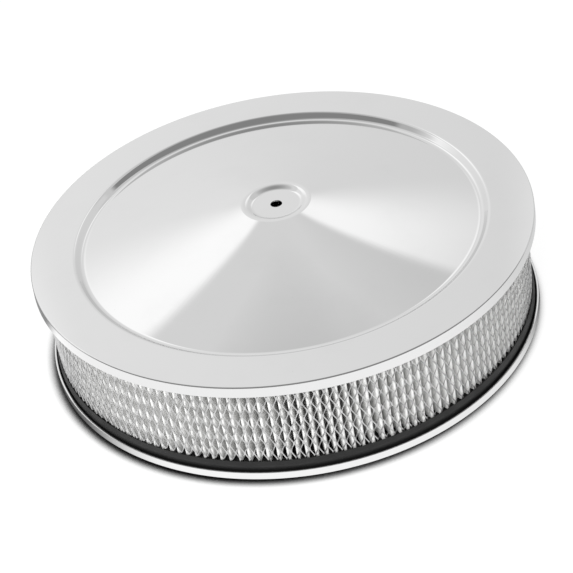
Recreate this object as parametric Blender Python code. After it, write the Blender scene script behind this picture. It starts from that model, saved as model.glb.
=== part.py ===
"""Round open-element air cleaner for a carburettor: chromed lid and base pan, pleated paper element.

The origin is under the middle of the base pan, on the plane that it stands on. The axis is +Z, in metres.
"""

import math

import bmesh
import bpy
from mathutils import Vector

# Overall sizes
LID_DIAMETER = 0.3556
ELEMENT_HEIGHT = 0.0762
SHEET = 0.0008
GAP = 0.0003
SEGMENTS = 48
FOLD_STEP = math.radians(46)

# Lid
STUD_HOLE_DIAMETER = 0.0082
DISH_FLOOR_DIAMETER = 0.0348
DISH_FLOOR_RISE = 0.0156
DISH_WALL_RUN = 0.0048
CONE_CREST_RISE = 0.0184
CONE_FOOT_RUN = 0.0069
GROOVE_RUN = 0.0043
GROOVE_DEPTH = 0.0040
STEP_CLEARANCE = 0.0002
LIP_DROP = 0.0078
LIP_FLARE = 0.0004
DISH_FOLD_RADIUS = 0.0053
CREST_FOLD_RADIUS = 0.0080
FOOT_FOLD_RADIUS = 0.0087
GROOVE_FOLD_RADIUS = 0.0039
STEP_FOLD_RADIUS = 0.0036
LID_FOLD_RADIUS = 0.0017

# Filter element
LID_OVERHANG = 0.0033
ELEMENT_DEPTH = 0.0269
SEAL_HEIGHT = 0.0107
SEAL_WELL_DEPTH = 0.0030
SEAL_LEDGE = 0.0017
SEAL_LEDGE_TOP = 0.0005
SEAL_SHOULDER_DROP = 0.0030
SEAL_INNER_LEDGE = 0.0014
SEAL_EDGE = 0.0010
SCREEN_THICKNESS = 0.0008
SCREEN_STRAND = 0.0026
OUTER_SCREEN_COLUMNS = 40
OUTER_SCREEN_ROWS = 3
INNER_SCREEN_COLUMNS = 28
INNER_SCREEN_ROWS = 2
PLEAT_PITCH = 0.0063
PAPER_THICKNESS = 0.0005
PAPER_TO_SCREEN = 0.0004
CLIP_SPACE = 0.0012
CLIP_SHEET = 0.0004
CLIP_LEG = 0.0070

# Base pan
RIM_HEIGHT = 0.0054
RIM_FOLD_RADIUS = 0.0010
SKIRT_FLARE = 0.0005
SKIRT_LIFT = 0.0003
TRAY_MARGIN = 0.0076
TRAY_FOLD_RADIUS = 0.0050
TRAY_CORNER_RADIUS = 0.0015
DROP_RUN = 0.0340
CENTRE_RISE = 0.0285
CENTRE_FOLD_RADIUS = 0.0060
NECK_BORE = 0.1302
NECK_COLLAR = 0.0050
NECK_FOLD_RADIUS = 0.0015

# Neck gasket
GASKET_SEAT_RISE = 0.0015
GASKET_WIDTH = 0.0084
GASKET_THICKNESS = 0.0030

# Radii, from the lid's edge inwards
lid_radius = LID_DIAMETER / 2
seal_outer = lid_radius - LID_OVERHANG
seal_inner = seal_outer - ELEMENT_DEPTH
outer_screen_outer = seal_outer - SEAL_LEDGE
outer_screen_inner = outer_screen_outer - SCREEN_THICKNESS
inner_screen_inner = seal_inner + SEAL_INNER_LEDGE
inner_screen_outer = inner_screen_inner + SCREEN_THICKNESS
media_outer = outer_screen_inner - PAPER_TO_SCREEN
media_inner = inner_screen_outer + CLIP_SPACE

# Heights, from the floor upwards
element_bottom = SHEET + GAP
element_top = element_bottom + ELEMENT_HEIGHT
lid_plane = element_top + GAP + SHEET
seat_plane = CENTRE_RISE + GASKET_SEAT_RISE
screen_bottom = element_bottom + SEAL_HEIGHT - SEAL_WELL_DEPTH + GAP
screen_top = element_top - SEAL_HEIGHT + SEAL_WELL_DEPTH - GAP


def clear_scene():
    for thing in list(bpy.data.objects):
        bpy.data.objects.remove(thing, do_unlink=True)


def make_material(name, colour, roughness, metallic):
    material = bpy.data.materials.new(name)
    material.use_nodes = True
    shader = material.node_tree.nodes["Principled BSDF"]
    shader.inputs["Base Color"].default_value = (*colour, 1.0)
    shader.inputs["Roughness"].default_value = roughness
    shader.inputs["Metallic"].default_value = metallic
    return material


def add_object(name, bm, material):
    """Turn the finished bmesh into one named object, shaded smooth with its real edges sharp."""
    bmesh.ops.recalc_face_normals(bm, faces=bm.faces)
    if bm.calc_volume(signed=True) < 0:
        bmesh.ops.reverse_faces(bm, faces=bm.faces)
    mesh = bpy.data.meshes.new(name)
    bm.to_mesh(mesh)
    bm.free()
    mesh.shade_smooth()
    mesh.set_sharp_from_angle(angle=math.radians(35))
    mesh.materials.append(material)
    thing = bpy.data.objects.new(name, mesh)
    bpy.context.scene.collection.objects.link(thing)
    return thing


def round_corners(corners):
    """Path of (radius, height) points from (radius, height, fold radius) corners."""
    path = []
    last = len(corners) - 1
    for index, (r, z, fold) in enumerate(corners):
        here = Vector((r, z))
        if index in (0, last) or fold == 0:
            path.append(here)
            continue
        back = (Vector(corners[index - 1][:2]) - here).normalized()
        ahead = (Vector(corners[index + 1][:2]) - here).normalized()
        turn = math.pi - back.angle(ahead)
        reach = fold * math.tan(turn / 2)
        centre = here + (back + ahead).normalized() * (fold / math.cos(turn / 2))
        start = here + back * reach - centre
        end = here + ahead * reach - centre
        steps = max(1, math.ceil(turn / FOLD_STEP))
        for step in range(steps + 1):
            share = step / steps
            weight_start = math.sin((1 - share) * turn) / math.sin(turn)
            weight_end = math.sin(share * turn) / math.sin(turn)
            path.append(centre + start * weight_start + end * weight_end)
    return path


def sheet_outline(path, thickness):
    """Closed outline of a pressed sheet whose upper side follows the path, running outwards."""
    lower = []
    for index, here in enumerate(path):
        before = path[max(index - 1, 0)]
        after = path[min(index + 1, len(path) - 1)]
        inward = (here - before).normalized() if index > 0 else (after - here).normalized()
        outward = (after - here).normalized() if index < len(path) - 1 else inward
        middle = (inward + outward).normalized()
        below = Vector((middle.y, -middle.x))
        lower.append(here + below * (thickness / middle.dot(inward)))
    return path + lower[::-1]


def turned(name, outline, material):
    """Solid of revolution about Z from a closed (radius, height) outline."""
    bm = bmesh.new()
    verts = [bm.verts.new((r, 0, z)) for r, z in outline]
    edges = [bm.edges.new((verts[i - 1], verts[i])) for i in range(len(verts))]
    bmesh.ops.spin(
        bm, geom=verts + edges, cent=(0, 0, 0), axis=(0, 0, 1), angle=math.tau, steps=SEGMENTS, use_merge=True
    )
    return add_object(name, bm, material)


def outside_radius(radius):
    """Radius of a faceted bore whose flats stand clear of a circle of this radius."""
    return radius / math.cos(math.pi / SEGMENTS)


def polar(radius, angle, z):
    return (radius * math.cos(angle), radius * math.sin(angle), z)


def thicken(bm, move):
    """Close an open surface into a solid: a copy of it, placed by move, joined to it along every border."""
    made = bmesh.ops.extrude_face_region(bm, geom=bm.faces[:], use_keep_orig=True)
    for vert in made["geom"]:
        if isinstance(vert, bmesh.types.BMVert):
            vert.co = move(vert.co)


def build_lid(material):
    dish_floor = DISH_FLOOR_DIAMETER / 2
    crest = dish_floor + DISH_WALL_RUN
    step = seal_inner - STEP_CLEARANCE - SHEET
    groove = step - GROOVE_RUN
    corners = (
        (STUD_HOLE_DIAMETER / 2, lid_plane + DISH_FLOOR_RISE, 0),
        (dish_floor, lid_plane + DISH_FLOOR_RISE, DISH_FOLD_RADIUS),
        (crest, lid_plane + CONE_CREST_RISE, CREST_FOLD_RADIUS),
        (step - CONE_FOOT_RUN, lid_plane - GROOVE_DEPTH, FOOT_FOLD_RADIUS),
        (groove, lid_plane - GROOVE_DEPTH, GROOVE_FOLD_RADIUS),
        (step, lid_plane, STEP_FOLD_RADIUS),
        (lid_radius, lid_plane, LID_FOLD_RADIUS),
        (lid_radius + LIP_FLARE, lid_plane - LIP_DROP, 0),
    )
    turned("top_lid", sheet_outline(round_corners(corners), SHEET), material)


def build_base(material):
    rim_inner = outside_radius(seal_outer + GAP)
    rim_outer = rim_inner + 2 * RIM_FOLD_RADIUS
    tray_foot = seal_inner - TRAY_MARGIN
    neck = NECK_BORE / 2
    seat = neck + GASKET_WIDTH + GAP + SHEET
    corners = (
        (neck + SHEET, seat_plane + NECK_COLLAR, 0),
        (neck + SHEET, seat_plane, NECK_FOLD_RADIUS),
        (seat, seat_plane, 0),
        (seat + GASKET_SEAT_RISE, CENTRE_RISE, 0),
        (tray_foot - DROP_RUN, CENTRE_RISE, CENTRE_FOLD_RADIUS),
        (tray_foot, SHEET, TRAY_FOLD_RADIUS),
        (rim_inner, SHEET, TRAY_CORNER_RADIUS),
        (rim_inner, RIM_HEIGHT, RIM_FOLD_RADIUS),
        (rim_outer, RIM_HEIGHT, RIM_FOLD_RADIUS),
        (rim_outer + SKIRT_FLARE, SKIRT_LIFT, 0),
    )
    turned("base_pan", sheet_outline(round_corners(corners), SHEET), material)


def build_gasket(material):
    inner = NECK_BORE / 2
    outer = inner + GASKET_WIDTH
    top = seat_plane - SHEET - GAP
    bottom = top - GASKET_THICKNESS
    outline = ((inner, bottom), (outer, bottom), (outer, top), (inner, top))
    turned("neck_gasket", outline, material)


def build_seal(name, end, direction, material):
    """Moulded end ring whose well opens upwards for a direction of +1, downwards for -1."""
    well_outer = outside_radius(outer_screen_outer + GAP)
    inner_sag = math.cos(math.pi / (2 * INNER_SCREEN_COLUMNS))
    well_inner = inner_screen_inner * inner_sag - GAP
    well_floor = SEAL_HEIGHT - SEAL_WELL_DEPTH
    section = (
        (seal_inner, SEAL_EDGE),
        (seal_inner + SEAL_EDGE, 0),
        (seal_outer - SEAL_EDGE, 0),
        (seal_outer, SEAL_EDGE),
        (seal_outer, SEAL_HEIGHT - SEAL_SHOULDER_DROP),
        (well_outer + SEAL_LEDGE_TOP, SEAL_HEIGHT),
        (well_outer, SEAL_HEIGHT),
        (well_outer, well_floor),
        (well_inner, well_floor),
        (well_inner, SEAL_HEIGHT),
        (seal_inner, SEAL_HEIGHT),
    )
    outline = [(r, end + direction * z) for r, z in section]
    turned(name, outline, material)


def build_screen(name, inner, columns, rows, material):
    """Expanded metal wall: rows of staggered diamonds, opened inside a border of strand, then thickened."""
    bm = bmesh.new()
    half_pitch = math.pi / columns
    level_height = (screen_top - screen_bottom) / (rows + 1)
    grid = [
        [
            bm.verts.new(polar(inner, half_pitch * place, screen_bottom + level_height * level))
            if (place + level) % 2 == 0 or level in (0, rows + 1)
            else None
            for place in range(2 * columns)
        ]
        for level in range(rows + 2)
    ]

    def node(level, place):
        return grid[level][place % (2 * columns)]

    diamonds = []
    for place in range(2 * columns):
        for level in range(1, rows + 1):
            if (place + level) % 2 == 1:
                foot, head = node(level - 1, place), node(level + 1, place)
                left, right = node(level, place - 1), node(level, place + 1)
                diamonds.append(bm.faces.new((foot, right, head, left)))
        for edge, inside in ((0, 1), (rows + 1, rows)):
            apex = place if (place + inside) % 2 == 0 else place + 1
            bm.faces.new((node(edge, place), node(edge, place + 1), node(inside, apex)))

    bm.normal_update()
    bmesh.ops.inset_individual(bm, faces=diamonds, thickness=SCREEN_STRAND / 2, use_even_offset=True)
    bmesh.ops.delete(bm, geom=diamonds, context="FACES")
    for vert in bm.verts:
        vert.co.xy = vert.co.xy.normalized() * inner
    outer = inner + SCREEN_THICKNESS
    thicken(bm, lambda co: Vector((*(co.xy.normalized() * outer), co.z)))
    add_object(name, bm, material)


def pleat_shape():
    """Number of pleats, the angle from a fold to the next, and the wall's slope to the radial line."""
    count = round(math.tau * media_outer / PLEAT_PITCH)
    half = math.pi / count
    middle = (media_outer + media_inner) / 2
    slope = math.atan(middle * half / (media_outer - media_inner))
    return count, half, slope


def build_media(material):
    """Filter paper folded to and fro between the two screens, its two ends joined into a ring."""
    bm = bmesh.new()
    count, half, slope = pleat_shape()
    radial = PAPER_THICKNESS / math.sin(slope)
    outside = []
    inside = []
    for fold in range(2 * count):
        outer = media_outer if fold % 2 == 0 else media_inner + radial
        outside.append(bm.verts.new(polar(outer, half * fold, screen_bottom)))
        inside.append(bm.verts.new(polar(outer - radial, half * fold, screen_bottom)))
    for fold in range(2 * count):
        bm.faces.new((outside[fold - 1], outside[fold], inside[fold], inside[fold - 1]))
    thicken(bm, lambda co: Vector((co.x, co.y, screen_top)))
    add_object("pleated_media", bm, material)


def build_clip(material):
    """Folded metal channel over the inner fold where the paper's ends meet, at the back of the ring."""
    bm = bmesh.new()
    count, half, slope = pleat_shape()
    fold = 2 * round(count / 4) + 1
    lean = math.tan(slope)

    def corner(depth, along, side):
        """Point on the channel's face that lies this depth off the paper, this far along the leg."""
        return (media_inner + along, side * (along * lean + depth))

    outer_depth = GAP + CLIP_SHEET
    plan = [
        corner(outer_depth, CLIP_LEG, 1),
        corner(GAP, CLIP_LEG, 1),
        corner(GAP, -GAP, 1),
        corner(GAP, -GAP, -1),
        corner(GAP, CLIP_LEG, -1),
        corner(outer_depth, CLIP_LEG, -1),
        corner(outer_depth, -outer_depth, -1),
        corner(outer_depth, -outer_depth, 1),
    ]
    turn = half * fold
    verts = []
    for r, side in plan:
        x = r * math.cos(turn) - side * math.sin(turn)
        y = r * math.sin(turn) + side * math.cos(turn)
        verts.append(bm.verts.new((x, y, screen_bottom)))
    for ring in ((0, 1, 2, 7), (2, 3, 6, 7), (3, 4, 5, 6)):
        bm.faces.new([verts[i] for i in ring])
    thicken(bm, lambda co: Vector((co.x, co.y, screen_top)))
    add_object("media_seam_clip", bm, material)


def main():
    clear_scene()
    chrome = make_material("chrome_plate", (0.80, 0.80, 0.81), 0.08, 1.0)
    expanded = make_material("expanded_metal", (0.62, 0.63, 0.64), 0.35, 1.0)
    paper = make_material("filter_paper", (0.80, 0.79, 0.76), 0.90, 0.0)
    moulding = make_material("black_moulding", (0.02, 0.02, 0.02), 0.55, 0.0)
    strip = make_material("clip_strip", (0.50, 0.51, 0.52), 0.40, 1.0)
    rubber = make_material("gasket_rubber", (0.03, 0.03, 0.03), 0.80, 0.0)
    build_base(chrome)
    build_gasket(rubber)
    build_seal("bottom_end_seal", element_bottom, 1, moulding)
    build_seal("top_end_seal", element_top, -1, moulding)
    build_screen("outer_screen", outer_screen_inner, OUTER_SCREEN_COLUMNS, OUTER_SCREEN_ROWS, expanded)
    build_screen("inner_screen", inner_screen_inner, INNER_SCREEN_COLUMNS, INNER_SCREEN_ROWS, expanded)
    build_media(paper)
    build_clip(strip)
    build_lid(chrome)


main()
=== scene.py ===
import math
import random

import bmesh
import bpy
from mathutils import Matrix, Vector


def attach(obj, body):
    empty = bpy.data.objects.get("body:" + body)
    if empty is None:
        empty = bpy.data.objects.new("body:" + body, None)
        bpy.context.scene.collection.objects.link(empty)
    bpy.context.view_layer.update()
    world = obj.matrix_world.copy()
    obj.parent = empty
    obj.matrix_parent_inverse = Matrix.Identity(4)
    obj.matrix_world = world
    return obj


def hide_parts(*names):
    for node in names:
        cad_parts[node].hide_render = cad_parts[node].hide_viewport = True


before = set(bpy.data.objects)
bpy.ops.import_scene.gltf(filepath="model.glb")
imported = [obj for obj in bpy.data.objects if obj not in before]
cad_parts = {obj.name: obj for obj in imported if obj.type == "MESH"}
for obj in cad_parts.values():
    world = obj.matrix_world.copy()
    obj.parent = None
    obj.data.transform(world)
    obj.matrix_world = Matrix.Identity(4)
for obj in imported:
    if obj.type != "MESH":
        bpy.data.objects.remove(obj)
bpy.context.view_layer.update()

scene = bpy.context.scene
scene.view_settings.view_transform = "Standard"


# small helpers for selecting and shaping, used by every piece; all sizes are in metres

slack = 1e-6        # how far a vertex may lie from the place it is picked by
seamGap = 2e-5      # vertices closer than this become one


def deselectAll():
    if bpy.context.object and bpy.context.object.mode != "OBJECT":
        bpy.ops.object.mode_set(mode="OBJECT")
    bpy.ops.object.select_all(action="DESELECT")


def startEdit(piece):
    deselectAll()
    bpy.context.view_layer.objects.active = piece
    piece.select_set(True)
    bpy.ops.object.mode_set(mode="EDIT")
    bpy.ops.mesh.select_mode(type="EDGE")


def pickEdges(piece, wanted):
    # selects the edges whose two ends both pass the test
    mesh = bmesh.from_edit_mesh(piece.data)
    for part in (mesh.faces, mesh.edges, mesh.verts):
        for item in part:
            item.select_set(False)
    for edge in mesh.edges:
        if all(wanted(vert.co) for vert in edge.verts):
            edge.select_set(True)
    mesh.select_flush_mode()
    bmesh.update_edit_mesh(piece.data)


def onRing(radius, height):
    # the test for edges of a circle round the axis
    return lambda at: abs(math.hypot(at.x, at.y) - radius) < 2 * slack and abs(at.z - height) < 2 * slack


def onUpright(x, y):
    # the test for edges that stand straight up at one place
    return lambda at: abs(at.x - x) < slack and abs(at.y - y) < slack


def finishPlace(piece):
    deselectAll()
    bpy.context.view_layer.objects.active = piece
    piece.select_set(True)
    bpy.ops.object.transform_apply(location=True, rotation=True, scale=True)


def useModifier(piece, kind, **settings):
    deselectAll()
    bpy.context.view_layer.objects.active = piece
    piece.select_set(True)
    modifier = piece.modifiers.new(kind.lower(), kind)
    for name, value in settings.items():
        setattr(modifier, name, value)
    bpy.ops.object.modifier_apply(modifier=modifier.name)


def roundEdges(piece, width, segments):
    useModifier(
        piece, "BEVEL", width=width, segments=segments, limit_method="ANGLE", angle_limit=math.radians(60))


def smoothFolds(piece, angle):
    # smooth over the folds, with the wide faces keeping their own direction
    deselectAll()
    bpy.context.view_layer.objects.active = piece
    piece.select_set(True)
    bpy.ops.object.shade_smooth_by_angle(angle=math.radians(angle))
    useModifier(piece, "WEIGHTED_NORMAL", mode="FACE_AREA", weight=80, keep_sharp=True)


def faceOutwards(piece, outward):
    # closed seams, and every face turned to the side that outward tells for a point
    startEdit(piece)
    bpy.ops.mesh.select_all(action="SELECT")
    bpy.ops.mesh.remove_doubles(threshold=seamGap)
    bpy.ops.mesh.normals_make_consistent(inside=False)
    mesh = bmesh.from_edit_mesh(piece.data)
    turned = 0
    for face in mesh.faces:
        turned += face.normal.dot(outward(face.calc_center_median())) * face.calc_area()
    if turned < 0:
        bpy.ops.mesh.flip_normals()
    bpy.ops.object.mode_set(mode="OBJECT")


def radially(at):
    return Vector((at.x, at.y, 0)).normalized()


def fromRing(radius, height):
    # outwards from a circle in the middle of a ring's section
    return lambda at: (at - radially(at) * radius - Vector((0, 0, height))).normalized()


def bevelFolds(piece, corners, select, steps):
    # each fold gets its own radius; corners are (along, up, fold) and select picks the edges of one
    for index, (along, up, fold) in enumerate(corners):
        if not fold:
            continue
        here = Vector((along, up))
        before = here - Vector(corners[index - 1][:2])
        after = Vector(corners[(index + 1) % len(corners)][:2]) - here
        turn = before.angle(after)
        pickEdges(piece, select(along, up))
        bpy.ops.mesh.bevel(
            offset=fold * math.tan(turn / 2), offset_type="OFFSET", affect="EDGES",
            segments=max(2, round(math.degrees(turn) / steps)), profile=0.5)


def turnProfile(name, corners, around, foldSteps, closed=False):
    # a ring of vertices is drawn out from corner to corner, then the folds are rounded
    deselectAll()
    radius, height = corners[0][:2]
    bpy.ops.mesh.primitive_circle_add(vertices=around, radius=radius, location=(0, 0, height))
    piece = bpy.context.object
    piece.name = piece.data.name = name
    finishPlace(piece)
    startEdit(piece)
    bpy.ops.mesh.select_all(action="SELECT")
    route = list(corners[1:]) + ([corners[0]] if closed else [])
    for nextRadius, nextHeight, _ in route:
        bpy.ops.mesh.extrude_edges_move(TRANSFORM_OT_translate={"value": (0, 0, nextHeight - height)})
        share = nextRadius / radius
        bpy.ops.transform.resize(value=(share, share, 1), center_override=(0, 0, nextHeight))
        radius, height = nextRadius, nextHeight
    if closed:
        bpy.ops.mesh.select_all(action="SELECT")
        bpy.ops.mesh.remove_doubles(threshold=slack)
    bevelFolds(piece, corners, onRing, foldSteps)
    bpy.ops.object.mode_set(mode="OBJECT")
    return piece


def pressSheet(name, sizes):
    # a thin sheet pressed round the axis, its upper side on the corners
    piece = turnProfile(name, sizes["corners"], sizes["around"], sizes["foldSteps"])
    faceOutwards(piece, lambda at: Vector((0, 0, 1)))
    useModifier(piece, "SOLIDIFY", thickness=sizes["sheet"], offset=-1, use_even_offset=True)
    roundEdges(piece, sizes["sheet"] * sizes["edgeRound"], 2)
    smoothFolds(piece, sizes["smoothUnder"])
    return piece


def mouldRing(name, corners, middle, sizes):
    # a solid ring with the given section, its folds rounded
    piece = turnProfile(name, corners, sizes["around"], sizes["foldSteps"], closed=True)
    faceOutwards(piece, fromRing(*middle))
    smoothFolds(piece, sizes["smoothUnder"])
    return piece


def drawStrip(name, startX, startY, low, high, cuts, route):
    # an upright edge, cut to levels, is drawn out in the plan along the route
    deselectAll()
    bpy.ops.mesh.primitive_plane_add(
        size=1, location=(startX, startY - 0.5, (low + high) / 2), rotation=(math.pi / 2, 0, math.pi / 2))
    strip = bpy.context.object
    strip.name = strip.data.name = name
    strip.scale = (1, high - low, 1)
    finishPlace(strip)
    startEdit(strip)
    pickEdges(strip, lambda at: at.y < startY - 0.5)
    bpy.ops.mesh.delete(type="VERT")
    bpy.ops.mesh.select_all(action="SELECT")
    bpy.ops.mesh.subdivide(number_cuts=cuts)
    x, y = startX, startY
    for nextX, nextY, _ in route:
        bpy.ops.mesh.extrude_edges_move(TRANSFORM_OT_translate={"value": (nextX - x, nextY - y, 0)})
        x, y = nextX, nextY
    return strip


# nodes

def addNode(tree, kind, inputs=None, **settings):
    made = tree.nodes.new("ShaderNode" + kind)
    for name, value in settings.items():
        setattr(made, name, value)
    for name, value in (inputs or {}).items():
        if isinstance(value, bpy.types.NodeSocket):
            tree.links.new(value, made.inputs[name])
        else:
            made.inputs[name].default_value = value
    return made


def useGroup(tree, group, **inputs):
    return addNode(tree, "Group", inputs, node_tree=group).outputs


def maths(tree, operation, first, second=0.0, clamp=False):
    return addNode(tree, "Math", {0: first, 1: second}, operation=operation, use_clamp=clamp).outputs[0]


def product(tree, first, *others):
    for other in others:
        first = maths(tree, "MULTIPLY", first, other)
    return first


def radiusOf(tree, x, y):
    return maths(tree, "SQRT", maths(tree, "ADD", product(tree, x, x), product(tree, y, y)))


def ramp(tree, value, low, high, start=0.0, end=1.0, kind="SMOOTHSTEP"):
    inputs = {"Value": value, "From Min": low, "From Max": high, "To Min": start, "To Max": end}
    return addNode(tree, "MapRange", inputs, interpolation_type=kind).outputs["Result"]


def mixTone(tree, amount, first, second):
    return addNode(tree, "Mix", {"Factor": amount, 2: first, 3: second}, data_type="FLOAT").outputs[0]


def blendColour(tree, amount, first, second):
    # either colour is three numbers or a socket
    ends = [end if isinstance(end, bpy.types.NodeSocket) else (*end, 1) for end in (first, second)]
    return addNode(tree, "Mix", {"Factor": amount, 6: ends[0], 7: ends[1]}, data_type="RGBA").outputs[2]


def seenDirectly(tree):
    # 1 for the camera and for what gloss or glass shows
    path = addNode(tree, "LightPath")
    seen = maths(tree, "MAXIMUM", path.outputs["Is Camera Ray"], path.outputs["Is Glossy Ray"])
    return maths(tree, "MAXIMUM", seen, path.outputs["Is Transmission Ray"])


def emptyMaterial(name):
    material = bpy.data.materials.new(name)
    material.use_nodes = True
    material.node_tree.nodes.clear()
    return material, material.node_tree


# camera

cameraView = {
    "place": (0.0, -0.95006, 0.72333),
    "turn": (53.133, 8.0019, -5.7809),   # degrees
    "lens": 102.4676,
    "sensor": 36,
}


def addCamera():
    deselectAll()
    turn = [math.radians(angle) for angle in cameraView["turn"]]
    bpy.ops.object.camera_add(location=cameraView["place"], rotation=turn)
    camera = bpy.context.object
    camera.name = "photoCamera"
    camera.data.lens = cameraView["lens"]
    camera.data.sensor_width = cameraView["sensor"]
    scene.camera = camera


# floor

floorLook = {
    "radius": 9.0,
    "corners": 96,
    "drop": 0.0002,
    "colour": (0.86, 0.86, 0.86),
    "white": 1.05,                      # as the camera sees it
    "share": 0.84,                      # of that white over the lit floor with its shadow
    "mirrorTone": (1.66, 1.46),         # as polished metal sees it, close to the base and farther off
    "mirrorRadius": (0.19, 0.26),       # where the one tone goes over to the other
    # painted shade on the floor behind the part, seen only by metal
    "backRight": {"tone": 0.76, "x": (-0.05, 0.12), "y": (-0.26, 0.09)},    # darker behind the part
    "backLeft": {"tone": 0.22, "x": (0.0, -0.12), "y": (-0.012, 0.03)},
    "rimShade": 0.88,                   # how much darker metal sees it under the base's rim at the sides
    "rimRadius": (0.200, 0.184),
    "rimSides": (-0.62, -0.20),         # y / radius where that shade starts and is full
    "rimLeft": (-0.85, -0.45),          # and the same on the left, where it comes farther forward
    # the dark line where the base stands: first as the camera sees it, then as metal does
    "contactLean": ((0.35, 0.75, 0.56), (0.25, -0.58, 0.77)),
    "contactReach": (0.0085, 0.030),
    "contactLow": (0.48, 0.55),
    "contactHigh": (0.96, 0.78),
    "contactDark": (0.0, 0.06),
    "contactColour": (0.05, 0.05, 0.05),
    "contactSamples": 16,
}


def addFloor():
    deselectAll()
    bpy.ops.mesh.primitive_circle_add(
        vertices=floorLook["corners"], radius=floorLook["radius"], fill_type="NGON",
        location=(0, 0, -floorLook["drop"]))
    floor = bpy.context.object
    floor.name = "studioFloor"
    material, tree = emptyMaterial("studioFloor")
    place = addNode(tree, "SeparateXYZ", {0: addNode(tree, "TexCoord").outputs["Object"]})
    x, y = place.outputs[0], place.outputs[1]
    radius = radiusOf(tree, x, y)
    mirrored = ramp(tree, radius, *floorLook["mirrorRadius"], *floorLook["mirrorTone"])
    for side in ("backRight", "backLeft"):
        patch = floorLook[side]
        cover = product(tree, ramp(tree, x, *patch["x"]), ramp(tree, y, *patch["y"]))
        mirrored = mixTone(tree, cover, mirrored, patch["tone"])
    across = maths(tree, "DIVIDE", y, radius)
    onLeft = product(tree, ramp(tree, across, *floorLook["rimLeft"]), maths(tree, "LESS_THAN", x, 0.0))
    aside = maths(tree, "MAXIMUM", onLeft, ramp(tree, across, *floorLook["rimSides"]))
    rimShade = product(tree, aside, ramp(tree, radius, *floorLook["rimRadius"]), floorLook["rimShade"])
    mirrored = product(tree, mirrored, maths(tree, "SUBTRACT", 1.0, rimShade))
    glossy = addNode(tree, "LightPath").outputs["Is Glossy Ray"]
    white = mixTone(tree, glossy, floorLook["white"], mirrored)
    # the shadow where the base stands falls to the front, and metal sees it at the sides
    toCamera, toMetal = floorLook["contactLean"]
    lean = addNode(tree, "Mix", {"Factor": glossy, 4: toCamera, 5: toMetal}, data_type="VECTOR").outputs[1]
    reach = mixTone(tree, glossy, *floorLook["contactReach"])
    near = addNode(
        tree, "AmbientOcclusion", {"Distance": reach, "Normal": lean}, samples=floorLook["contactSamples"])
    low = mixTone(tree, glossy, *floorLook["contactLow"])
    high = mixTone(tree, glossy, *floorLook["contactHigh"])
    dark = mixTone(tree, glossy, *floorLook["contactDark"])
    clear = ramp(tree, near.outputs["AO"], low, high, dark, 1.0)
    colour = blendColour(tree, clear, floorLook["contactColour"], floorLook["colour"])
    paint = addNode(tree, "BsdfDiffuse", {"Color": colour})
    glow = addNode(tree, "Emission", {"Strength": product(tree, white, clear)})
    share = product(tree, seenDirectly(tree), floorLook["share"])
    both = addNode(tree, "MixShader", {0: share, 1: paint.outputs[0], 2: glow.outputs[0]})
    addNode(tree, "OutputMaterial", {"Surface": both.outputs[0]})
    floor.data.materials.append(material)


# tent round the part: a pair of numbers is where a change starts and where it is complete

tentLook = {
    "radius": 4.5,
    "steps": (64, 32),
    "openUnder": 0.05,
    "wallTone": (1.21, 1.03),           # left and right
    "wallAcross": (-0.15, 0.33),
    "wallFoot": (0.10, 0.42, 0.90, 1.0),    # it dims to nine tenths towards the floor
    "highTone": (1.06, 0.92),           # the wall over the windows, left and right
    "highAcross": (0.10, 0.28),
    "highFrom": (0.785, 0.815),
    "topTone": 0.43,                    # straight overhead
    "topFrom": (0.84, 1.0),
    "windowTone": (1.60, 1.53),         # left and right
    "windowAcross": (-0.10, 0.10),
    "windowInner": (0.20, 0.285),       # radians to either side of straight behind
    "windowOuter": (0.66, 0.50),
    "windowRight": (0.60, 0.32),        # the right window's outer side fades out wider
    "windowFoot": (0.415, 0.688),
    "windowHead": (0.787, 0.813),
    "headSlope": 0.15,                  # the heads come down to the sides, twice as fast past the kink
    "headKink": 0.10,
    "sideWindow": -1.00,                # a third window on the left, in radians from straight behind
    "sideWidth": (0.19, 0.07),
    "sideTone": 0.70,                   # the dim wall from there to the dark
    "sideAlong": (0.38, 0.14),
    "sideAcross": (-0.30, -0.45),
    "darkTone": 0.36,                   # the unlit room behind the camera, and the horizon
    "darkSlope": 0.40,                  # it reaches farther back on the right
    "darkLeft": (-0.2, -0.5, 0.0, 0.10),
    "darkFrom": (0.0, -0.06),
    "horizon": (0.045, 0.020),
}


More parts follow.
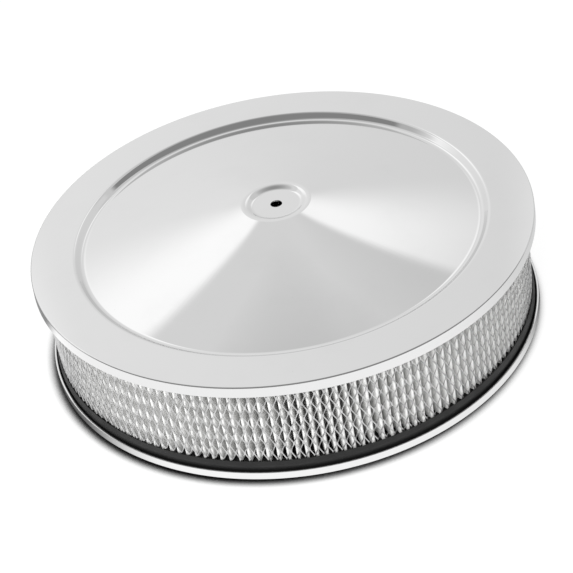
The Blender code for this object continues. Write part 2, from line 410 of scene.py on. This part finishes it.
def addTent():
    # pale walls with tall windows between them, seen only in polished metal
    deselectAll()
    segments, rings = tentLook["steps"]
    bpy.ops.mesh.primitive_uv_sphere_add(segments=segments, ring_count=rings, radius=tentLook["radius"])
    tent = bpy.context.object
    tent.name = "studioTent"
    startEdit(tent)
    bpy.ops.mesh.select_all(action="SELECT")
    bpy.ops.mesh.bisect(plane_co=(0, 0, tentLook["openUnder"]), plane_no=(0, 0, 1), clear_inner=True)
    bpy.ops.object.mode_set(mode="OBJECT")
    material, tree = emptyMaterial("studioTent")
    place = addNode(tree, "TexCoord").outputs["Object"]
    way = addNode(tree, "VectorMath", {0: place}, operation="NORMALIZE").outputs[0]
    axes = addNode(tree, "SeparateXYZ", {0: way})
    x, y, up = axes.outputs[0], axes.outputs[1], axes.outputs[2]
    turn = maths(tree, "ARCTAN2", x, y)
    away = maths(tree, "ABSOLUTE", turn)
    behind = product(
        tree, ramp(tree, away, *tentLook["windowInner"]), ramp(tree, away, *tentLook["windowOuter"]),
        ramp(tree, turn, *tentLook["windowRight"]))
    fromSide = maths(tree, "ABSOLUTE", maths(tree, "SUBTRACT", turn, tentLook["sideWindow"]))
    windows = maths(tree, "MAXIMUM", behind, ramp(tree, fromSide, *tentLook["sideWidth"]))
    slope = product(tree, maths(tree, "ABSOLUTE", x), tentLook["headSlope"])
    pastKink = maths(tree, "MAXIMUM", maths(tree, "SUBTRACT", x, tentLook["headKink"]), 0.0)
    slope = maths(tree, "ADD", slope, product(tree, pastKink, tentLook["headSlope"]))
    toHead = maths(tree, "ADD", up, slope)
    windows = product(
        tree, windows, ramp(tree, up, *tentLook["windowFoot"]),
        ramp(tree, toHead, *tentLook["windowHead"], 1, 0))
    windowTone = mixTone(tree, ramp(tree, x, *tentLook["windowAcross"]), *tentLook["windowTone"])
    wall = mixTone(tree, ramp(tree, x, *tentLook["wallAcross"], kind="LINEAR"), *tentLook["wallTone"])
    wall = product(tree, wall, ramp(tree, up, *tentLook["wallFoot"], "LINEAR"))
    upper = mixTone(tree, ramp(tree, x, *tentLook["highAcross"], kind="LINEAR"), *tentLook["highTone"])
    wall = mixTone(tree, ramp(tree, toHead, *tentLook["highFrom"]), wall, upper)
    wall = mixTone(tree, ramp(tree, up, *tentLook["topFrom"], kind="LINEAR"), wall, tentLook["topTone"])
    tone = mixTone(tree, windows, wall, windowTone)
    tone = mixTone(tree, ramp(tree, up, *tentLook["horizon"]), tone, tentLook["darkTone"])
    dim = product(tree, ramp(tree, y, *tentLook["sideAlong"]), ramp(tree, x, *tentLook["sideAcross"]))
    tone = mixTone(tree, dim, tone, tentLook["sideTone"])
    start = product(tree, maths(tree, "MAXIMUM", x, 0.0), tentLook["darkSlope"])
    start = maths(tree, "ADD", start, ramp(tree, x, *tentLook["darkLeft"]))
    front = maths(tree, "SUBTRACT", y, start)
    tone = mixTone(tree, ramp(tree, front, *tentLook["darkFrom"]), tone, tentLook["darkTone"])
    glow = addNode(tree, "Emission", {"Strength": tone})
    addNode(tree, "OutputMaterial", {"Surface": glow.outputs[0]})
    material.cycles.emission_sampling = "NONE"
    tent.data.materials.append(material)
    for ray in ("camera", "diffuse", "transmission", "volume_scatter", "shadow"):
        setattr(tent, "visible_" + ray, False)


# lights

lights = {
    "room": 0.86,         # light of the white room on matt surfaces
    "keyLamp": {"place": (1.1, 0.8, 2.3), "size": 1.4, "power": 15.0},
    "fillLamp": {"place": (-1.1, -2.0, 1.6), "size": 1.6, "power": 46.0},
}


def addLamp(name):
    deselectAll()
    sizes = lights[name]
    bpy.ops.object.light_add(type="AREA", location=sizes["place"])
    lamp = bpy.context.object
    lamp.name = name
    lamp.data.size = sizes["size"]
    lamp.data.energy = sizes["power"]
    lamp.rotation_euler = (-lamp.location).to_track_quat("-Z", "Y").to_euler()
    lamp.visible_glossy = False


def addRoom():
    world = bpy.data.worlds.new("studioRoom")
    world.use_nodes = True
    tree = world.node_tree
    tree.nodes.clear()
    level = ramp(tree, seenDirectly(tree), 0, 1, lights["room"], 1.0, "LINEAR")
    room = addNode(tree, "Background", {"Color": (1, 1, 1, 1), "Strength": level})
    addNode(tree, "OutputWorld", {"Surface": room.outputs[0]})
    scene.world = world


addCamera()
addFloor()
addTent()
addRoom()
addLamp("keyLamp")
addLamp("fillLamp")
print("camera, floor and lights are up")


# shared surface effects: a pair of numbers is where an effect starts and where it is full

effects = {
    "dustFacing": (0.2, 0.9),      # how far a face has to look up to hold dust
    "speckSize": (0.10, 0.04),     # in cells
    "speckCells": (0.93, 0.95),    # only cells with a number above this have a speck
    "filmCloud": (0.45, 0.75),
    "wornTurn": (0.985, 0.90),     # cosine of the turn that rounding gives an edge
    "wornCloud": (0.38, 0.62),
}


def newGroup(name, inputs, outputs):
    group = bpy.data.node_groups.new(name, "ShaderNodeTree")
    for label, kind, value in inputs:
        socket = group.interface.new_socket(name=label, in_out="INPUT", socket_type="NodeSocket" + kind)
        if kind == "Float":
            socket.default_value = value
    for label, kind in outputs:
        group.interface.new_socket(name=label, in_out="OUTPUT", socket_type="NodeSocket" + kind)
    return group, group.nodes.new("NodeGroupInput").outputs, group.nodes.new("NodeGroupOutput").inputs


def makeRoundPlace():
    # radius, turn and height of a point, for patterns that run round the axis
    group, given, result = newGroup(
        "roundPlace", [("Place", "Vector", None)],
        [("Radius", "Float"), ("Turn", "Float"), ("Height", "Float")])
    axes = addNode(group, "SeparateXYZ", {0: given["Place"]})
    x, y = axes.outputs[0], axes.outputs[1]
    group.links.new(radiusOf(group, x, y), result["Radius"])
    group.links.new(maths(group, "ARCTAN2", y, x), result["Turn"])
    group.links.new(axes.outputs[2], result["Height"])
    return group


def makePolishLines():
    # fine lines that the buffing wheel leaves round the axis
    group, given, result = newGroup(
        "polishLines", [("Place", "Vector", None), ("Lines", "Float", 1400.0), ("Break", "Float", 3.0)],
        [("Mask", "Float")])
    place = useGroup(group, roundPlace, Place=given["Place"])
    across = product(group, place["Radius"], given["Lines"])
    rise = product(group, place["Height"], given["Lines"])
    along = product(group, place["Turn"], given["Break"])
    point = addNode(group, "CombineXYZ", {0: across, 1: along, 2: rise}).outputs[0]
    lines = addNode(group, "TexNoise", {"Vector": point, "Scale": 1.0, "Detail": 3.0, "Roughness": 0.6})
    group.links.new(lines.outputs["Fac"], result["Mask"])
    return group


def makeFineGrain():
    # small bumps and a softer, larger unevenness
    group, given, result = newGroup(
        "fineGrain", [("Place", "Vector", None), ("Grain", "Float", 900.0), ("Cloud", "Float", 40.0)],
        [("Height", "Float"), ("Tone", "Float")])
    place = given["Place"]
    fine = addNode(
        group, "TexNoise", {"Vector": place, "Scale": given["Grain"], "Detail": 4.0, "Roughness": 0.6})
    wide = addNode(group, "TexNoise", {"Vector": place, "Scale": given["Cloud"], "Detail": 3.0})
    group.links.new(fine.outputs["Fac"], result["Height"])
    group.links.new(wide.outputs["Fac"], result["Tone"])
    return group


def makeDust():
    # specks and a thin film that settle on what faces up
    group, given, result = newGroup(
        "settledDust", [("Place", "Vector", None), ("Specks", "Float", 260.0), ("Film", "Float", 0.3)],
        [("Mask", "Float")])
    place = given["Place"]
    facing = addNode(group, "SeparateXYZ", {0: addNode(group, "NewGeometry").outputs["Normal"]}).outputs[2]
    upward = ramp(group, facing, *effects["dustFacing"])
    cells = addNode(group, "TexVoronoi", {"Vector": place, "Scale": given["Specks"]}, feature="F1")
    speck = ramp(group, cells.outputs["Distance"], *effects["speckSize"])
    number = addNode(group, "SeparateXYZ", {0: cells.outputs["Color"]}).outputs[0]
    pick = ramp(group, number, *effects["speckCells"])
    film = addNode(group, "TexNoise", {"Vector": place, "Scale": 22.0, "Detail": 5.0, "Roughness": 0.65})
    haze = product(group, ramp(group, film.outputs["Fac"], *effects["filmCloud"]), given["Film"])
    total = maths(group, "ADD", product(group, speck, pick), haze, clamp=True)
    group.links.new(product(group, total, upward), result["Mask"])
    return group


def makeEdgeWear():
    # edges rubbed by handling, broken up by a cloud
    group, given, result = newGroup(
        "edgeWear", [("Place", "Vector", None), ("Width", "Float", 0.0006), ("Share", "Float", 0.5)],
        [("Mask", "Float")])
    rounded = addNode(group, "Bevel", {"Radius": given["Width"]}, samples=4).outputs[0]
    plain = addNode(group, "NewGeometry").outputs["Normal"]
    match = addNode(group, "VectorMath", {0: rounded, 1: plain}, operation="DOT_PRODUCT").outputs["Value"]
    edge = ramp(group, match, *effects["wornTurn"])
    cloud = addNode(group, "TexNoise", {"Vector": given["Place"], "Scale": 85.0, "Detail": 4.0})
    rubbed = ramp(group, cloud.outputs["Fac"], *effects["wornCloud"])
    group.links.new(product(group, edge, rubbed, given["Share"]), result["Mask"])
    return group


roundPlace = makeRoundPlace()
polishLines = makePolishLines()
fineGrain = makeFineGrain()
settledDust = makeDust()
edgeWear = makeEdgeWear()


# materials

finishes = {
    "chrome": {
        "colour": (0.60, 0.60, 0.60), "haze": (0.55, 0.55, 0.55),
        "smooth": 0.035, "streak": 1.8, "lines": (0.3, 0.8), "dull": 0.10,    # dull is added by dust
        "film": 0.22, "grain": 34.0, "cloud": 9.0, "lineDepth": 0.004, "bump": 0.00006,
    },
    "mesh": {
        "colour": (0.50, 0.50, 0.50), "shade": (0.39, 0.39, 0.39), "smooth": 0.30, "dull": 0.44,
        "grain": 1500.0, "cloud": 160.0, "bump": 0.00004,
    },
    "paper": {
        "colour": (0.90, 0.90, 0.89), "shade": (0.82, 0.82, 0.81), "deep": (0.55, 0.55, 0.54), "rough": 0.92,
        # painted shade: the deep colour is mixed in by radius, from just under the ridges into the folds
        "paintedRidgeShade": (0.1708, 0.1688, 0.0, 0.42),       # from radius, to radius, from share, to share
        "paintedDepthShade": (0.1688, 0.1575, 0.0, 0.54),
        "fibreScale": (1.0, 1.0, 0.35), "grain": 1300.0, "cloud": 240.0, "bump": 0.00016,
    },
    "moulding": {
        "colour": (0.010, 0.010, 0.010), "worn": (0.055, 0.055, 0.054), "smooth": 0.42, "dull": 0.58,
        "specular": 0.35, "specks": 420.0, "film": 0.35, "wear": 0.6,
        "grain": 2200.0, "cloud": 70.0, "bump": 0.00005,
    },
    "rubber": {
        "colour": (0.030, 0.030, 0.031), "bloom": (0.11, 0.11, 0.108), "smooth": 0.62, "dull": 0.82,
        "bloomShare": 0.5, "wear": 0.8, "grain": 1700.0, "cloud": 55.0, "bump": 0.00008,
    },
    "strip": {
        "colour": (0.66, 0.67, 0.68), "shade": (0.48, 0.49, 0.50), "smooth": 0.28, "dull": 0.42,
        "edge": 0.0003, "wear": 0.9, "grain": 1200.0, "cloud": 300.0, "bump": 0.00004,
    },
}


def shaderOf(name, metallic=0.0):
    material, tree = emptyMaterial(name)
    shader = addNode(tree, "BsdfPrincipled")
    shader.inputs["Metallic"].default_value = metallic
    addNode(tree, "OutputMaterial", {"Surface": shader.outputs[0]})
    place = addNode(tree, "Mapping", {"Vector": addNode(tree, "TexCoord").outputs["Object"]}).outputs[0]
    return material, tree, shader, place


def grainOf(tree, place, look):
    return useGroup(tree, fineGrain, Place=place, Grain=look["grain"], Cloud=look["cloud"])


def paintWith(tree, shader, amount, first, second):
    tree.links.new(blendColour(tree, amount, first, second), shader.inputs["Base Color"])


def roughenWith(tree, shader, mask, look):
    tree.links.new(ramp(tree, mask, 0.3, 0.7, look["smooth"], look["dull"]), shader.inputs["Roughness"])


def bumpFrom(tree, shader, height, distance):
    bump = addNode(tree, "Bump", {"Height": height, "Distance": distance, "Strength": 1.0})
    tree.links.new(bump.outputs[0], shader.inputs["Normal"])


def makeChrome():
    look = finishes["chrome"]
    material, tree, shader, place = shaderOf("chromePlate", metallic=1.0)
    lines = useGroup(tree, polishLines, Place=place)["Mask"]
    dust = useGroup(tree, settledDust, Place=place, Film=look["film"])["Mask"]
    wave = grainOf(tree, place, look)["Tone"]
    paintWith(tree, shader, dust, look["colour"], look["haze"])
    rough = ramp(tree, lines, *look["lines"], look["smooth"], look["smooth"] * look["streak"], "LINEAR")
    rough = maths(tree, "ADD", rough, product(tree, dust, look["dull"]))
    tree.links.new(rough, shader.inputs["Roughness"])
    bumpFrom(tree, shader, maths(tree, "ADD", wave, product(tree, lines, look["lineDepth"])), look["bump"])
    return material


def makeMesh():
    look = finishes["mesh"]
    material, tree, shader, place = shaderOf("expandedMetal", metallic=1.0)
    grain = grainOf(tree, place, look)
    paintWith(tree, shader, ramp(tree, grain["Tone"], 0.35, 0.65), look["colour"], look["shade"])
    roughenWith(tree, shader, grain["Height"], look)
    bumpFrom(tree, shader, grain["Height"], look["bump"])
    return material


def makePaper():
    # pale fibres, with painted shade that darkens the paper from the ridges deep into the folds
    look = finishes["paper"]
    material, tree, shader, place = shaderOf("filterPaper")
    stretched = addNode(tree, "Mapping", {"Vector": place, "Scale": look["fibreScale"]}).outputs[0]
    fibre = grainOf(tree, stretched, look)
    pale = blendColour(tree, ramp(tree, fibre["Tone"], 0.3, 0.7), look["colour"], look["shade"])
    radius = useGroup(tree, roundPlace, Place=place)["Radius"]
    # painted shade, darker the deeper into the folds
    paintedFoldShade = maths(tree, "ADD", ramp(tree, radius, *look["paintedRidgeShade"]), ramp(tree, radius, *look["paintedDepthShade"]))
    paintWith(tree, shader, paintedFoldShade, pale, look["deep"])
    shader.inputs["Roughness"].default_value = look["rough"]
    bumpFrom(tree, shader, fibre["Height"], look["bump"])
    return material


def makeMoulding():
    look = finishes["moulding"]
    material, tree, shader, place = shaderOf("blackMoulding")
    grain = grainOf(tree, place, look)
    dust = useGroup(tree, settledDust, Place=place, Specks=look["specks"], Film=look["film"])["Mask"]
    wear = useGroup(tree, edgeWear, Place=place, Share=look["wear"])["Mask"]
    paintWith(tree, shader, maths(tree, "MAXIMUM", dust, wear), look["colour"], look["worn"])
    roughenWith(tree, shader, grain["Tone"], look)
    shader.inputs["Specular IOR Level"].default_value = look["specular"]
    bumpFrom(tree, shader, grain["Height"], look["bump"])
    return material


def makeRubber():
    look = finishes["rubber"]
    material, tree, shader, place = shaderOf("gasketRubber")
    grain = grainOf(tree, place, look)
    wear = useGroup(tree, edgeWear, Place=place, Share=look["wear"])["Mask"]
    bloom = ramp(tree, grain["Tone"], 0.5, 0.8, 0.0, look["bloomShare"])
    paintWith(tree, shader, maths(tree, "MAXIMUM", bloom, wear), look["colour"], look["bloom"])
    roughenWith(tree, shader, grain["Height"], look)
    bumpFrom(tree, shader, grain["Height"], look["bump"])
    return material


def makeStrip():
    look = finishes["strip"]
    material, tree, shader, place = shaderOf("clipStrip", metallic=1.0)
    grain = grainOf(tree, place, look)
    wear = useGroup(tree, edgeWear, Place=place, Width=look["edge"], Share=look["wear"])["Mask"]
    cloudy = maths(tree, "SUBTRACT", ramp(tree, grain["Tone"], 0.35, 0.65), wear, clamp=True)
    paintWith(tree, shader, cloudy, look["colour"], look["shade"])
    roughenWith(tree, shader, grain["Height"], look)
    bumpFrom(tree, shader, grain["Height"], look["bump"])
    return material


chromePlate = makeChrome()
expandedMetal = makeMesh()
filterPaper = makePaper()
blackMoulding = makeMoulding()
gasketRubber = makeRubber()
clipStrip = makeStrip()
print("materials made")


def standsFor(piece, node, material):
    # the piece takes the place of a CAD node, which is hidden, and gets the given material
    piece.data.materials.clear()
    piece.data.materials.append(material)
    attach(piece, "root")
    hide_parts(node)


# lid

lid = {
    "around": 192,
    "foldSteps": 8,      # degrees of turn to each step of a fold
    "sheet": 0.0008,
    "edgeRound": 0.22,   # share of the sheet by which its edges are rounded
    "smoothUnder": 50,   # degrees
    "corners": (         # radius, height, fold radius
        (0.0041, 0.0940, 0),
        (0.0174, 0.0940, 0.0053),
        (0.0222, 0.0966, 0.0080),
        (0.1397, 0.0744, 0.0087),
        (0.1423, 0.0744, 0.0039),
        (0.1466, 0.0784, 0.0036),
        (0.1778, 0.0784, 0.0010),
        (0.1782, 0.0706, 0),
    ),
}

standsFor(pressSheet("chromeLid", lid), "top_lid", chromePlate)
print("lid pressed")


# base

base = {
    "around": 192,
    "foldSteps": 8,
    "sheet": 0.0008,
    "edgeRound": 0.22,
    "smoothUnder": 50,
    "corners": (
        (0.0659, 0.0350, 0),
        (0.0659, 0.0300, 0.0015),
        (0.0746, 0.0300, 0.0004),
        (0.0761, 0.0285, 0.0004),
        (0.1060, 0.0285, 0.0060),
        (0.1400, 0.0008, 0.0050),
        (0.175175, 0.0008, 0.0015),
        (0.175175, 0.0054, 0.0010),
        (0.177175, 0.0054, 0.0005),
        (0.177675, 0.0003, 0),
    ),
}

standsFor(pressSheet("chromeBase", base), "base_pan", chromePlate)
print("base pressed")


# neck gasket

gasket = {
    "around": 144,
    "foldSteps": 30,
    "middle": (0.0693, 0.0274),     # of its section
    "smoothUnder": 50,
    "corners": (
        (0.0651, 0.0259, 0.0006),
        (0.0678, 0.0259, 0.0004),
        (0.0684, 0.0265, 0.0004),
        (0.0702, 0.0265, 0.0004),
        (0.0708, 0.0259, 0.0004),
        (0.0735, 0.0259, 0.0006),
        (0.0735, 0.0289, 0.0005),
        (0.0651, 0.0289, 0.0005),
    ),
}

gasketPiece = mouldRing("gasketRing", gasket["corners"], gasket["middle"], gasket)
standsFor(gasketPiece, "neck_gasket", gasketRubber)
print("gasket moulded")


# end seals

seal = {
    "around": 192,
    "foldSteps": 22,
    "bottom": 0.0011,
    "top": 0.0773,
    "middle": (0.161, 0.003),     # radius and depth of the middle of its section
    "smoothUnder": 50,
    "corners": (          # radius, depth into the element, corner radius
        (0.1476, 0.0000, 0.0010),
        (0.1745, 0.0000, 0.0010),
        (0.1745, 0.0077, 0.0012),
        (0.1735, 0.0107, 0.0002),
        (0.1731, 0.0107, 0),
        (0.1731, 0.0077, 0),
        (0.1487, 0.0077, 0),
        (0.1487, 0.0107, 0),
        (0.1476, 0.0107, 0.0004),
    ),
}


def mouldSeal(name, node, end, direction):
    corners = [(radius, end + direction * depth, fold) for radius, depth, fold in seal["corners"]]
    radius, depth = seal["middle"]
    piece = mouldRing(name, corners, (radius, end + direction * depth), seal)
    standsFor(piece, node, blackMoulding)


mouldSeal("bottomSeal", "bottom_end_seal", seal["bottom"], 1)
mouldSeal("topSeal", "top_end_seal", seal["top"], -1)
print("end seals moulded")


# expanded metal walls

outerWall = {
    "radius": 0.1724,
    "columns": 180,
    "rows": 6,
    "diamondHeight": 0.0129,
    "firstRow": 0.00555,        # height of the lowest bonds
    "strand": 0.00076,          # width of a strand, and half that of a bond
    "bond": 0.0020,             # height of a bond
    "strandTilt": 24,           # degrees that the strands are turned out of the wall
    "sheet": 0.00045,
    "low": 0.0092,
    "high": 0.0692,
    "mergeGap": 0.00003,
    "smoothUnder": 30,          # degrees
}

innerWall = dict(outerWall, radius=0.1494, columns=156)


def stretchMetal(name, sizes):
    # one bond with four half strands is modelled, then repeated up and round
    radius, columns = sizes["radius"], sizes["columns"]
    halfTurn = math.pi / columns
    aside = math.pi * radius / columns / 2
    upward = sizes["diamondHeight"] / 4
    tilt = math.radians(sizes["strandTilt"])
    deselectAll()
    bpy.ops.mesh.primitive_plane_add(
        size=1, location=(radius, 0, sizes["firstRow"]), rotation=(math.pi / 2, 0, math.pi / 2 + tilt))
    piece = bpy.context.object
    piece.name = piece.data.name = name
    piece.scale = (2 * sizes["strand"], sizes["bond"], 1)
    finishPlace(piece)
    startEdit(piece)
    bpy.ops.mesh.select_all(action="SELECT")
    bpy.ops.mesh.subdivide(number_cuts=1)
    for side in (-1, 1):
        for end in (-1, 1):
            height = sizes["firstRow"] + end * sizes["bond"] / 2
            pickEdges(piece, lambda at: abs(at.z - height) < slack and at.y * side > -slack)
            start = Vector((radius - side * math.sin(tilt) * sizes["strand"] / 2,
                            side * math.cos(tilt) * sizes["strand"] / 2, height))
            target = Vector((radius, side * aside, sizes["firstRow"] + end * upward))
            bpy.ops.mesh.extrude_region_move(TRANSFORM_OT_translate={"value": target - start})
    bpy.ops.object.mode_set(mode="OBJECT")
    deselectAll()
    bpy.ops.object.empty_add(location=(0, 0, 2 * upward), rotation=(0, 0, halfTurn))
    stagger = bpy.context.object
    bpy.ops.object.empty_add(rotation=(0, 0, 2 * halfTurn))
    nextColumn = bpy.context.object
    bpy.context.view_layer.update()
    repeat = {"use_relative_offset": False, "use_merge_vertices": True, "merge_threshold": sizes["mergeGap"]}
    useModifier(piece, "ARRAY", count=2, use_object_offset=True, offset_object=stagger, **repeat)
    useModifier(piece, "ARRAY", count=sizes["rows"], use_constant_offset=True,
                constant_offset_displace=(0, 0, sizes["diamondHeight"]), **repeat)
    useModifier(piece, "ARRAY", count=columns, use_object_offset=True, offset_object=nextColumn,
                use_merge_vertices_cap=True, **repeat)
    bpy.data.objects.remove(stagger)
    bpy.data.objects.remove(nextColumn)
    startEdit(piece)
    bpy.ops.mesh.select_all(action="SELECT")
    bpy.ops.mesh.bisect(plane_co=(0, 0, sizes["low"]), plane_no=(0, 0, 1), clear_inner=True)
    bpy.ops.mesh.select_all(action="SELECT")
    bpy.ops.mesh.bisect(plane_co=(0, 0, sizes["high"]), plane_no=(0, 0, 1), clear_outer=True)
    bpy.ops.object.mode_set(mode="OBJECT")
    faceOutwards(piece, radially)
    useModifier(piece, "SOLIDIFY", thickness=sizes["sheet"], offset=0)
    bpy.ops.object.shade_smooth_by_angle(angle=math.radians(sizes["smoothUnder"]))
    return piece


standsFor(stretchMetal("outerMesh", outerWall), "outer_screen", expandedMetal)
standsFor(stretchMetal("innerMesh", innerWall), "inner_screen", expandedMetal)
print("expanded metal walls made")


# pleated paper

pleats = {
    "count": 171,
    "ridge": 0.1712,
    "valley": 0.1514,
    "ridgeHalf": 0.00080,     # half the width of a fold
    "valleyHalf": 0.00060,
    "foldShare": 0.95,        # of that half width, as the fold's radius
    "foldSteps": 28,          # degrees
    "low": 0.0092,
    "high": 0.0692,
    "levels": 4,
    "unevenness": 0.32,       # share of the pitch
    "wander": 0.0007,         # how far the paper strays from its straight folds
    "wanderSize": 0.016,
    "paper": 0.00045,
    "mergeGap": 0.00012,
    "smoothUnder": 50,        # degrees
    "seed": 5,
}


def foldPleat(name):
    # one pleat from valley to valley, drawn out along its folds as a strip of paper
    half = math.pi / pleats["count"]
    valley, ridge = pleats["valley"], pleats["ridge"]
    edgeX, edgeY = valley * math.cos(half), valley * math.sin(half)
    inner, outer = pleats["valleyHalf"], pleats["ridgeHalf"]
    innerFold, outerFold = inner * pleats["foldShare"], outer * pleats["foldShare"]
    plan = (
        (edgeX, -edgeY, 0),
        (edgeX, -edgeY + inner, innerFold),
        (ridge, -outer, outerFold),
        (ridge, outer, outerFold),
        (edgeX, edgeY - inner, innerFold),
        (edgeX, edgeY, 0),
    )
    pleat = drawStrip(name, *plan[0][:2], pleats["low"], pleats["high"], pleats["levels"] - 1, plan[1:])
    bevelFolds(pleat, plan, onUpright, pleats["foldSteps"])
    bpy.ops.object.mode_set(mode="OBJECT")
    return pleat


def foldPaper(name):
    pleat = foldPleat("onePleat")
    pitch = math.tau / pleats["count"]
    picker = random.Random(pleats["seed"])
    shifts = [picker.uniform(-1, 1) * pleats["unevenness"] / 2 for _ in range(pleats["count"])]
    nearClip = round(pleats["count"] / 4)     # the seam clip sits between this pleat and the next
    for index in (nearClip, nearClip + 1):
        shifts[index] = 0.0
    copies = []
    for index in range(pleats["count"]):
        left = index - 0.5 + (shifts[index - 1] + shifts[index]) / 2
        right = index + 0.5 + (shifts[index] + shifts[(index + 1) % pleats["count"]]) / 2
        copy = pleat.copy()
        copy.data = pleat.data.copy()
        scene.collection.objects.link(copy)
        copy.scale = (1, right - left, 1)
        copy.rotation_euler = (0, 0, pitch * (left + right) / 2)
        copies.append(copy)
    bpy.data.objects.remove(pleat)
    deselectAll()
    for copy in copies:
        copy.select_set(True)
    bpy.context.view_layer.objects.active = copies[0]
    bpy.ops.object.join()
    paper = bpy.context.object
    paper.name = paper.data.name = name
    finishPlace(paper)
    startEdit(paper)
    bpy.ops.mesh.select_all(action="SELECT")
    bpy.ops.mesh.remove_doubles(threshold=pleats["mergeGap"])
    bpy.ops.object.mode_set(mode="OBJECT")
    faceOutwards(paper, radially)
    texture = bpy.data.textures.new("paperWander", "CLOUDS")
    texture.noise_scale = pleats["wanderSize"]
    useModifier(
        paper, "DISPLACE", texture=texture, texture_coords="LOCAL", direction="RGB_TO_XYZ",
        strength=pleats["wander"], mid_level=0.5)
    useModifier(paper, "SOLIDIFY", thickness=pleats["paper"], offset=0)
    bpy.ops.object.shade_smooth_by_angle(angle=math.radians(pleats["smoothUnder"]))
    return paper


standsFor(foldPaper("pleatedPaper"), "pleated_media", filterPaper)
print("paper folded")


# seam clip

clip = {
    "turn": 91.5789,          # degrees, at the inner fold where the paper's ends meet
    "corners": (              # distance from the axis and to the side, fold radius
        (0.1580, -0.001507, 0),
        (0.1505, -0.000428, 0.0003),
        (0.1505, 0.000428, 0.0003),
        (0.1580, 0.001507, 0),
    ),
    "foldSteps": 22,
    "frontHalf": 0.0004,      # half the width of the flat between the two folds
    "sheet": 0.0004,
    "edgeRound": 0.2,
    "low": 0.0091,
    "high": 0.0693,
    "crimps": 8,
    "crimpFrom": 0.153,       # distance from the axis
    "crimpDepth": 0.00016,
    "crimpMargin": 0.0018,
    "smoothUnder": 40,
}


def awayFromChannel(at):
    # inwards to the axis from the clip's front, sideways from its legs
    if abs(at.y) < clip["frontHalf"]:
        return Vector((-1, 0, 0))
    return Vector((0, at.y, 0)).normalized()


def foldClip(name):
    # a strip folded to a channel, then crimped at equal steps down both legs
    rows = 2 * clip["crimps"] + 1
    corners = clip["corners"]
    piece = drawStrip(name, *corners[0][:2], clip["low"], clip["high"], rows - 1, corners[1:])
    bevelFolds(piece, corners, onUpright, clip["foldSteps"])
    bpy.ops.object.mode_set(mode="OBJECT")
    faceOutwards(piece, awayFromChannel)
    startEdit(piece)
    bpy.ops.mesh.select_mode(type="FACE")
    step = (clip["high"] - clip["low"]) / rows
    mesh = bmesh.from_edit_mesh(piece.data)
    for face in mesh.faces:
        centre = face.calc_center_median()
        row = int((centre.z - clip["low"]) / step)
        face.select_set(centre.x > clip["crimpFrom"] and row % 2 == 1)
    mesh.select_flush_mode()
    bmesh.update_edit_mesh(piece.data)
    bpy.ops.mesh.inset(thickness=clip["crimpMargin"] / 2, depth=0, use_individual=True)
    bpy.ops.mesh.inset(thickness=clip["crimpMargin"] / 6, depth=-clip["crimpDepth"], use_individual=True)
    bpy.ops.object.mode_set(mode="OBJECT")
    useModifier(piece, "SOLIDIFY", thickness=clip["sheet"], offset=0, use_even_offset=True)
    roundEdges(piece, clip["sheet"] * clip["edgeRound"], 1)
    piece.rotation_euler = (0, 0, math.radians(clip["turn"]))
    finishPlace(piece)
    smoothFolds(piece, clip["smoothUnder"])
    return piece


standsFor(foldClip("seamClip"), "media_seam_clip", clipStrip)
print("seam clip folded")
